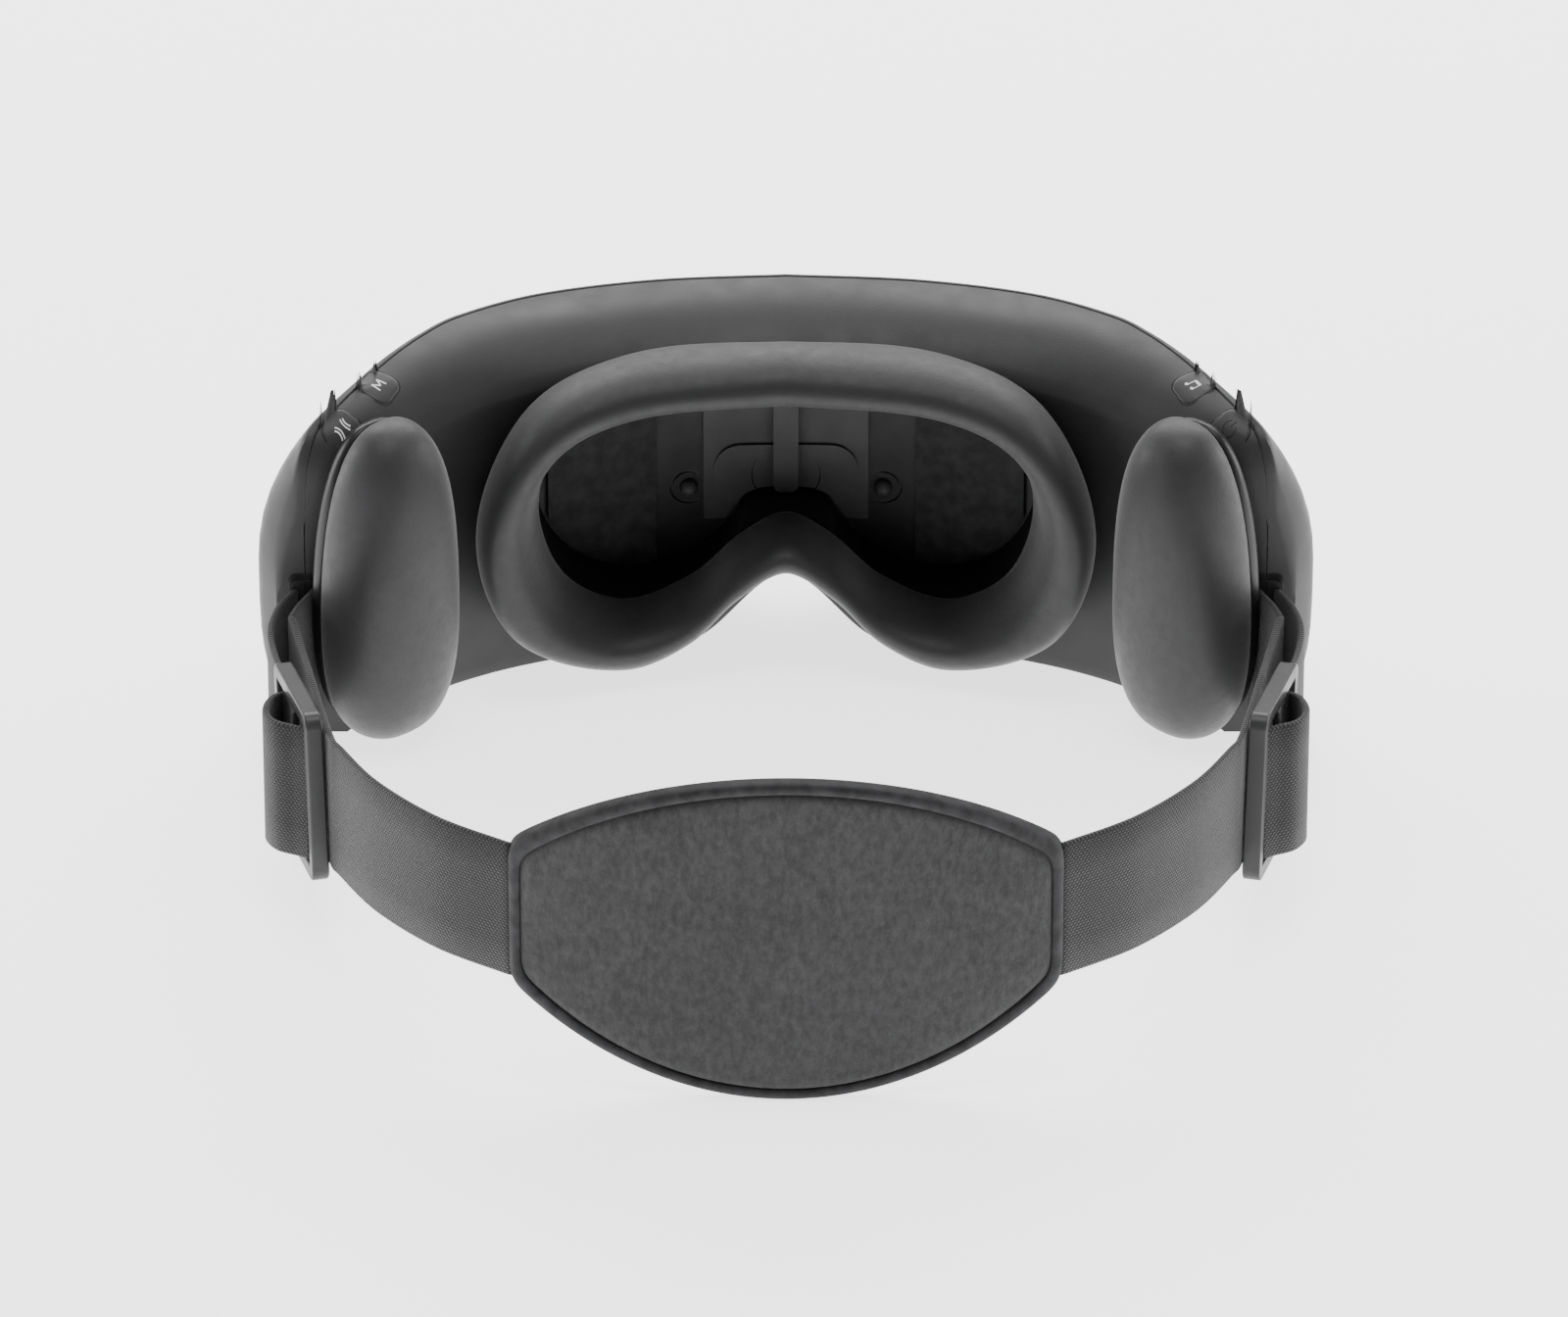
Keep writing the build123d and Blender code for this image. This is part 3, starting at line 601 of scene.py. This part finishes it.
def plate(name, outline, material, body, to_point, levels):
    """Thin plate with a stepped section: levels are (scale, height) from the back to the front."""
    cx = sum(a for a, _ in outline) / len(outline)
    cz = sum(b for _, b in outline) / len(outline)
    verts, faces = [], []
    count = len(outline)
    for scale, height in levels:
        verts += [to_point(cx + (a - cx) * scale, cz + (b - cz) * scale, height) for a, b in outline]
    for level in range(len(levels) - 1):
        for k in range(count):
            a, b = level * count + k, level * count + (k + 1) % count
            faces.append([a, b, b + count, a + count])
    faces.append([(len(levels) - 1) * count + k for k in range(count)])
    mesh = bpy.data.meshes.new(name)
    mesh.from_pydata(verts, [], faces)
    piece = finish_mesh(name, mesh)
    piece.data.set_sharp_from_angle(angle=math.radians(30))
    place(piece, material, body, [])
    return piece


def opening_shade_plates():
    """Dark plates at the strap slots and the charging inlet, with their moulded lips; their dark colour is painted
    shade of the openings.
    """
    # No hole is cut: the near-black plate is painted shade where the slot opens.
    slot = rounded_box(SLOT_X, SLOT_Z, 1.6)
    for side, name in ((1, "right"), (-1, "left")):
        plate(f"{name}_slot_painted_shade", slot, "ring", "mask",
              lambda a, b, level: P(side * a, ARM_END_Y - level, b), [(1.1, -0.3), (1.1, 0.02), (1.0, 0.1), (0.97, -0.2)])
    # The inlet's near-black plate is painted shade of its opening.
    port = rounded_box((77.3, 86.7), (-44.3, -40.7), 1.7)
    plate("inlet_mouth", port, "ring", "mask", lambda a, b, level: P(a, b, -level),
          [(1.0, -0.4), (1.0, 0.01), (0.9, 0.02), (0.86, -0.6)])


def rounded_square(size, radius, turn, steps=8):
    """Outline of a rounded square, turned by an angle in degrees."""
    points = []
    for quarter in range(4):
        for k in range(steps + 1):
            a = math.radians(90 * (quarter + k / steps))
            corner = math.radians(90 * quarter + 45)
            reach = (size / 2 - radius) * math.sqrt(2)
            points.append((reach * math.cos(corner) + radius * math.cos(a), reach * math.sin(corner) + radius * math.sin(a)))
    c, s = math.cos(math.radians(turn)), math.sin(math.radians(turn))
    return [(x * c - y * s, x * s + y * c) for x, y in points]


BUTTONS = {"mode": (-83.5, -42.2), "squeeze": (-90.6, -54.0), "music": (83.5, -42.2), "power": (90.6, -54.0)}
BUTTON, BUTTON_R, BUTTON_GAP, BUTTON_TURN = 7.4, 2.2, 0.22, 60.0
SLOT_X, SLOT_Z = (95.6, 101.9), (2.9, 36.0)


def rounded_box(xs, ys, radius, steps=5):
    """Outline of a rectangle with rounded corners."""
    points = []
    for quarter, (cx, cy) in enumerate([(xs[1] - radius, ys[1] - radius), (xs[0] + radius, ys[1] - radius),
                                        (xs[0] + radius, ys[0] + radius), (xs[1] - radius, ys[0] + radius)]):
        for k in range(steps + 1):
            a = math.radians(90 * (quarter + k / steps))
            points.append((cx + radius * math.cos(a), cy + radius * math.sin(a)))
    return points


def shells():
    """The two smooth housing shells. Returns the outer surface for what lies on it."""
    verts, faces = [], []
    for name, rows, material, node, slot in (
            ("front_cover_skin", front_rows(), "visor", "front_cover", "shell_front"),
            ("rear_housing_skin", rear_rows(), "housing", "rear_housing", "shell_rear")):
        width, first = len(rows[0]), len(verts)
        verts += [P(*p) for row in rows for p in row]
        faces += [[first + v * width + u, first + v * width + u + 1, first + (v + 1) * width + u + 1,
                   first + (v + 1) * width + u] for v in range(len(rows) - 1) for u in range(width - 1)]
        place(shell(name, rows, node == "rear_housing"), material, "mask", [node])
    opening_shade_plates()
    return BVHTree.FromPolygons(verts, faces)


# ---- cushions ---------------------------------------------------------------------------------------
def face_cushion():
    """Ring cushion: a rounded section swept round the eye opening, standing on the rear wall."""
    count = 220
    outer = loop_from_half(CUSHION_OUTER, count)
    inner = loop_from_half(CUSHION_INNER, count)
    rim = loop_from_half(LINER_RIM, count)
    rows = []
    for o, i, r in zip(outer, inner, rim):
        across = o - i
        width = across.length
        row = []
        # section from the rim at the wall, up the inner slope, over the crown and down the outside
        section = [(-0.10, 0.0), (-0.06, 0.16), (0.0, 0.34), (0.05, 0.55), (0.12, 0.76), (0.24, 0.92),
                   (0.40, 0.995), (0.56, 1.0), (0.72, 0.94), (0.86, 0.80), (0.955, 0.60), (0.995, 0.38),
                   (0.985, 0.16), (0.94, 0.0), (0.6, -0.02), (0.2, -0.02)]
        for a, h in section:
            point = i + across * a
            base = plan_y(REAR_FINE, point.x) - 1.75
            face = plan_y(FACE_FINE, point.x)
            row.append((point.x, base + (face - base) * h, point.y))
        rows.append(row)
    piece = grid_mesh("face_cushion_skin", rows, close_u=True, close_v=True)
    subdivide(piece, 2)
    place(piece, "cushion", "mask", ["face_cushion"])


def temple_outline(angle):
    """Local x and z of the egg outline: widest low down, drawn in and leaning inwards at the top."""
    c, s = math.cos(angle), math.sin(angle)
    if s >= 0:
        z = 30.0 + 42.6 * s ** 0.86
        x = math.copysign(abs(c) ** 0.78, c) * 15.75 - 1.6 * s ** 1.6
    else:
        z = 30.0 - 29.6 * abs(s) ** 0.80
        x = math.copysign(abs(c) ** 0.80, c) * 15.75
    return x, z


def temple_cushion(side):
    """Elongated egg-shaped cushion standing on its plate."""
    thick, start = 16.4, 1.9
    turn = math.radians(-43.0)
    tangent = Vector((math.cos(turn), math.sin(turn)))
    normal = Vector((math.sin(turn), -math.cos(turn)))
    centre = Vector((85.9, -56.6))
    around = 72
    levels = [(0.0, 0.93), (0.04, 0.965), (0.14, 0.995), (0.30, 1.0), (0.47, 0.965), (0.62, 0.90), (0.75, 0.80),
              (0.86, 0.66), (0.93, 0.50), (0.975, 0.32), (0.995, 0.16)]
    outline = [temple_outline(2 * math.pi * k / around) for k in range(around)]
    rows = []
    for h, spread in levels + [(1.0, 0.05)]:
        row = []
        for x, z in outline:
            point = centre + tangent * x * spread + normal * (start + thick * h)
            middle = 35.0 - 3.0 * h * h
            row.append((side * point.x, point.y, middle + (z - middle) * spread ** 0.62))
        rows.append(row)
    name = "right" if side > 0 else "left"
    piece = grid_mesh(f"{name}_temple_cushion_skin", rows, close_u=True, cap=True)
    subdivide(piece, 2)
    place(piece, "temple", "mask", [f"{name}_temple_pad"])
    rows = []
    for out, spread in ((-1.6, 0.80), (-1.6, 0.86), (-1.2, 0.895), (-0.6, 0.91), (1.4, 0.925), (1.85, 0.91), (1.9, 0.6)):
        row = []
        for x, z in outline:
            point = centre + tangent * x * spread + normal * out
            row.append((side * point.x, point.y, 35.0 + (z - 35.0) * (spread + 0.035)))
        rows.append(row)
    backing = grid_mesh(f"{name}_temple_plate_skin", rows, close_u=True, cap=True)
    place(backing, "plate", "mask", [f"{name}_temple_plate"])


# ---- strap --------------------------------------------------------------------------------------------
def strap_z(y):
    return PIN_Z + STRAP_RISE * (ARM_END_Y - y)


def ribbon(name, path, side, height=WEB_H, thickness=WEB_T, samples=120, rounding=0.35):
    """Band of webbing along a plan path, with slightly rounded selvedges."""
    centre = resample(catmull(path, 14), samples)
    edge = height / 2
    half = thickness / 2
    section = [(-half, -edge + rounding), (-half * 0.6, -edge), (half * 0.6, -edge), (half, -edge + rounding)]
    section += [(half, edge * k) for k in (-0.5, 0.0, 0.5)]
    section += [(half, edge - rounding), (half * 0.6, edge), (-half * 0.6, edge), (-half, edge - rounding)]
    section += [(-half, edge * k) for k in (0.5, 0.0, -0.5)]
    rows = []
    along = 0.0
    lengths = []
    for k, p in enumerate(centre):
        a = centre[max(k - 1, 0)]
        b = centre[min(k + 1, len(centre) - 1)]
        t = (b - a).normalized()
        if k:
            along += (p - centre[k - 1]).length
        lengths.append(along)
        rows.append([(side * (p.x - t.y * o), p.y + t.x * o, strap_z(p.y) + h) for o, h in section])
    heights = [h for _, h in section] + [section[0][1]]
    piece = grid_mesh(name, rows, close_u=True, cap=True, uv=lambda u, v: (lengths[v], heights[u]))
    return piece


def strap_side(side):
    name = "right" if side > 0 else "left"
    start, end = (101.0, -75.0), (91.2, -135.5)
    reach = PIN_R + 0.3 + WEB_T / 2
    rear = [start, (96.1, -105.2), end, (88.6, -143.5), (81.0, -160.5), (69.0, -177.6), (56.0, -189.3), (53.6, -191.0)]
    long_web = ribbon(f"{name}_webbing_band", rear, side, samples=150)
    place(long_web, "webbing", "strap", [f"{name}_webbing"])
    loop = [(101.6, -103.6), (103.6, -95.0), (105.0, -82.0), (103.8, -70.0), (100.9, -60.5), (PIN_X + reach, -55.0),
            (PIN_X + reach * 0.7, PIN_Y + reach * 0.7), (PIN_X, PIN_Y + reach), (PIN_X - reach * 0.7, PIN_Y + reach * 0.7),
            (PIN_X - reach, -55.0), (96.9, -60.5), (99.4, -68.0), (101.0, -75.0)]
    front = ribbon(f"{name}_front_loop_band", loop, side, samples=150)
    bend = (P(0, -58, PIN_Z), P(0, -82, PIN_Z))
    place(front, "webbing", "strap", [f"{name}_front_loop"], bend)
    fold = [(95.4, -134.2), (98.0, -132.4), (102.2, -129.6), (104.3, -124.5), (103.6, -118.0), (101.2, -115.2),
            (99.3, -118.0), (98.2, -125.5)]
    wrap = ribbon(f"{name}_fold_band", fold, side, samples=90)
    place(wrap, "webbing", f"{name}_buckle_body", [f"{name}_webbing_fold"])
    frame_ring = refined(f"{name}_buckle", f"{name}_buckle_frame", 0.8, 4)
    place(frame_ring, "buckle", f"{name}_buckle_body", [f"{name}_buckle"])


# ---- rear pad -------------------------------------------------------------------------------------------
PAD_SAG = PAD_END_Y - PAD_CENTRE_Y
PAD_RADIUS = (PAD_HALF_W ** 2 + PAD_SAG ** 2) / (2 * PAD_SAG)


def pad_ring(margin, scale=1.0):
    """Eye-shaped outline with cut ends and softened corners, drawn in by a margin: (x, z) from the middle."""
    w, h, end = PAD_HALF_W - margin, PAD_H / 2 - margin, PAD_END_H / 2 - margin
    radius = (w * w + (h - end) ** 2) / (2 * (h - end))
    reach = math.asin(min(w / radius, 1.0))
    top = [(radius * math.sin(a), h - radius + radius * math.cos(a))
           for a in [reach * (1 - 2 * k / 96) for k in range(97)]]
    side = [(-w, end * (1 - 2 * k / 20)) for k in range(1, 20)]
    ring = top + side + [(-x, -z) for x, z in top] + [(-x, -z) for x, z in side]
    count = len(ring)
    for _ in range(5):
        ring = [tuple((ring[k - 1][i] + 2 * ring[k][i] + ring[(k + 1) % count][i]) / 4 for i in (0, 1))
                for k in range(count)]
    return [(x * scale, z * scale) for x, z in ring]


def pad_rows(section):
    """Rings of the pad: each section entry is (margin, scale, millimetres behind the pad's middle)."""
    rows = []
    for margin, scale, out in section:
        row = []
        for x, z in pad_ring(margin, scale):
            y = PAD_CENTRE_Y + PAD_RADIUS - math.sqrt((PAD_RADIUS + out) ** 2 - x * x)
            row.append((x, y, PAD_Z + z))
        rows.append(row)
    return rows


def rear_pad():
    """Bound edge, suede panel behind and lining in front."""
    edge = [(0.0, 1, 0.0), (0.02, 1, 1.0), (0.25, 1, 1.7), (0.8, 1, 2.12), (1.5, 1, 2.18), (2.1, 1, 1.95),
            (2.4, 1, 1.4), (2.45, 1, 0.0), (2.4, 1, -1.4), (2.1, 1, -1.95), (1.5, 1, -2.18), (0.8, 1, -2.12),
            (0.25, 1, -1.7), (0.02, 1, -1.0)]
    binding = grid_mesh("rear_pad_bound_edge", pad_rows(edge), close_u=True, close_v=True)
    subdivide(binding, 1)
    place(binding, "binding", "strap", ["rear_pad_binding", "rear_pad_core"])
    for name, node, sign in (("rear_pad_suede", "rear_pad_panel", 1), ("rear_pad_lining", "rear_pad_backing", -1)):
        face = [(2.0, 1, 0.2), (2.2, 1, 0.9), (2.6, 1, 1.5), (3.3, 1, 1.86), (4.2, 1, 2.0), (6, 1, 2.08),
                (9, 1, 2.14), (11, 1, 2.18)]
        face += [(11, f, 2.2) for f in (0.92, 0.82, 0.70, 0.57, 0.43, 0.29, 0.15, 0.04)]
        face = [(margin, scale, sign * out) for margin, scale, out in face]
        panel = grid_mesh(name, pad_rows(face), close_u=True, cap=True)
        subdivide(panel, 1)
        place(panel, "panel_suede", "strap", [node])


# ---- buttons --------------------------------------------------------------------------------------------
def stroke(points, width, closed=False):
    """Flat band along a line of (x, y) points: pairs of edge points."""
    pairs = []
    count = len(points)
    for k, p in enumerate(points):
        a = points[(k - 1) % count if closed else max(k - 1, 0)]
        b = points[(k + 1) % count if closed else min(k + 1, count - 1)]
        t = (Vector(b) - Vector(a)).normalized()
        side = Vector((-t.y, t.x)) * width / 2
        pairs.append((Vector(p) + side, Vector(p) - side))
    return pairs


def dense(points, step=0.12):
    """Extra points along a polyline, so that a mark follows the curved button."""
    out = []
    for a, b in zip(points, points[1:]):
        a, b = Vector(a), Vector(b)
        parts = max(1, round((b - a).length / step))
        out += [a.lerp(b, k / parts) for k in range(parts)]
    return out + [Vector(points[-1])]


def arc(cx, cy, radius, start, end, steps=14):
    turn = [math.radians(start + (end - start) * k / steps) for k in range(steps + 1)]
    return [Vector((cx + radius * math.cos(a), cy + radius * math.sin(a))) for a in turn]


def note_head(cx, cy):
    return [(Vector((cx - 0.42 + 0.84 * k / 8, cy + 0.36 * math.sin(math.pi * k / 8))),
             Vector((cx - 0.42 + 0.84 * k / 8, cy - 0.36 * math.sin(math.pi * k / 8)))) for k in range(9)]


def marks():
    """Generic function marks as lists of bands, upright in their own frame."""
    mode = [stroke(dense(line), 0.36) for line in ([(-1.15, -1.1), (-0.95, 1.1)], [(-0.95, 1.1), (0.0, -0.5)],
                                                   [(0.0, -0.5), (0.95, 1.1)], [(0.95, 1.1), (1.15, -1.1)])]
    waves = [stroke(arc(cx, 0, r, a0, a1), 0.3) for cx, r, a0, a1 in
             ((-2.6, 2.0, -38, 38), (-2.6, 1.4, -42, 42), (2.6, 2.0, 142, 218), (2.6, 1.4, 138, 222))]
    note = [stroke(dense([(-0.72, -0.95), (-0.72, 1.15)]), 0.2), stroke(dense([(1.0, -0.75), (1.0, 1.25)]), 0.2),
            stroke(dense([(-0.8, 0.92), (1.08, 1.05)]), 0.62), note_head(-1.08, -1.0), note_head(0.64, -0.8)]
    # The power mark's dark colour is painted shade of its engraving.
    power = [stroke(arc(0, 0, 1.35, 125, 415, 30), 0.22), stroke(dense([(0, 0.2), (0, 1.75)]), 0.22)]
    return {"mode": (mode, "ink"), "squeeze": (waves, "ink"), "music": (note, "ink"), "power": (power, "dark_ink")}


def surface_height(tree, x, y):
    """z of the housing's outer surface above a plan point, in millimetres."""
    start = P(x, y, 120.0)
    hit = tree.ray_cast(start, Vector((0, 0, -1)))[0]
    return hit.z / MM if hit else HEIGHT


def button_caps(tree):
    """Rounded-square caps that follow the arm's surface, each with its mark."""
    rings = [(1.0, -2.0), (1.0, -0.25), (0.99, -0.02), (0.965, 0.14), (0.92, 0.22), (0.8, 0.25), (0.55, 0.26),
             (0.3, 0.26), (0.08, 0.26)]
    for name, (bands, ink) in marks().items():
        x, y = BUTTONS[name]
        side = math.copysign(1, x)
        outline = rounded_square(BUTTON, BUTTON_R, -side * BUTTON_TURN)
        rows = []
        for scale, rise in rings:
            points = [(x + a * scale, y + b * scale) for a, b in outline]
            rows.append([(a, b, surface_height(tree, a, b) + rise) for a, b in points])
        cap = grid_mesh(f"{name}_button_cap", rows, close_u=True, cap=True)
        place(cap, "button", f"{name}_button_body", [f"{name}_button"])
        # Thin near-black band round each cap: painted shade of the gap between button and housing.
        gap = BUTTON + 2 * BUTTON_GAP
        rim = [(gap + 0.3, -0.5), (gap + 0.12, 0.02), (gap, 0.035), (BUTTON, 0.03), (BUTTON - 0.1, -0.5)]
        gap_shade = []
        for size, rise in rim:
            ring = rounded_square(size, BUTTON_R + (size - BUTTON) / 2, -side * BUTTON_TURN)
            gap_shade.append([(x + a, y + b, surface_height(tree, x + a, y + b) + rise) for a, b in ring])
        gap_shade = grid_mesh(f"{name}_button_gap_shade", gap_shade, close_u=True)
        place(gap_shade, "ring", "mask", [])
        up = Vector((side * 0.866, 0.5))
        along = Vector((up.y, -up.x))
        bm = bmesh.new()
        for band in bands:
            before = None
            for pair in band:
                flat = [Vector((x, y)) + along * p.x + up * p.y for p in pair]
                now = [bm.verts.new(P(p.x, p.y, surface_height(tree, p.x, p.y) + 0.275)) for p in flat]
                if before:
                    bm.faces.new([before[0], before[1], now[1], now[0]])
                before = now
        mesh = bpy.data.meshes.new(f"{name}_mark")
        bm.to_mesh(mesh)
        bm.free()
        mark = finish_mesh(f"{name}_mark", mesh)
        place(mark, ink, f"{name}_button_body", [])


# ---- floor, light and camera -------------------------------------------------------------------------
FLOOR_GLOW = 2.1


def studio():
    floor = bpy.data.meshes.new("floor")
    size = 3.0
    floor.from_pydata([(-size, -size, 0), (size, -size, 0), (size, size, 0), (-size, size, 0)], [], [(0, 1, 2, 3)])
    floor = bpy.data.objects.new("floor", floor)
    bpy.context.scene.collection.objects.link(floor)
    pale = Surface("pale_floor", (0.93, 0.93, 0.93), 0.9)
    pale.color(pale.ramp(pale.noise(3, 2), [(0.3, 0.93), (0.7, 0.95)]))
    pale.shader.inputs["Emission Color"].default_value = (1, 1, 1, 1)
    pale.shader.inputs["Emission Strength"].default_value = FLOOR_GLOW
    floor.data.materials.append(pale.material)
    world = bpy.data.worlds.new("studio")
    bpy.context.scene.world = world
    world.use_nodes = True
    world.node_tree.nodes["Background"].inputs["Color"].default_value = (1, 1, 1, 1)
    world.node_tree.nodes["Background"].inputs["Strength"].default_value = 0.32
    area_light("top_front", (0, 0.85, 0.75), (0, 0.05, 0.05), 1.3, 0.5, 15)
    area_light("top", (0, -0.1, 1.3), (0, 0.0, 0.03), 0.8, 0.6, 8)
    area_light("left_side", (-1.1, 0.35, 0.30), (0, 0, 0.03), 0.5, 0.8, 9)
    area_light("right_side", (1.1, 0.35, 0.30), (0, 0, 0.03), 0.5, 0.8, 9)


def area_light(name, position, target, width, height, power):
    light = bpy.data.lights.new(name, "AREA")
    light.shape = "RECTANGLE"
    light.size = width
    light.size_y = height
    light.energy = power
    lamp = bpy.data.objects.new(name, light)
    bpy.context.scene.collection.objects.link(lamp)
    lamp.location = position
    lamp.rotation_euler = (Vector(target) - Vector(position)).to_track_quat("-Z", "Y").to_euler()


def camera():
    elevation = math.radians(30.0)
    distance = 2580.0
    aim = P(-0.4, -40.3, 5.8)
    data = bpy.data.cameras.new("camera")
    data.sensor_width = 36.0
    data.lens = 285.1
    data.clip_end = 20.0
    eye = bpy.data.objects.new("camera", data)
    bpy.context.scene.collection.objects.link(eye)
    eye.location = aim + Vector((0, -math.cos(elevation), math.sin(elevation))) * distance * MM
    eye.rotation_euler = (math.pi / 2 - elevation, 0, 0)
    bpy.context.scene.camera = eye


dress_cad_nodes()
button_caps(shells())
face_cushion()
rear_pad()
for side in (1, -1):
    temple_cushion(side)
    strap_side(side)
studio()
camera()
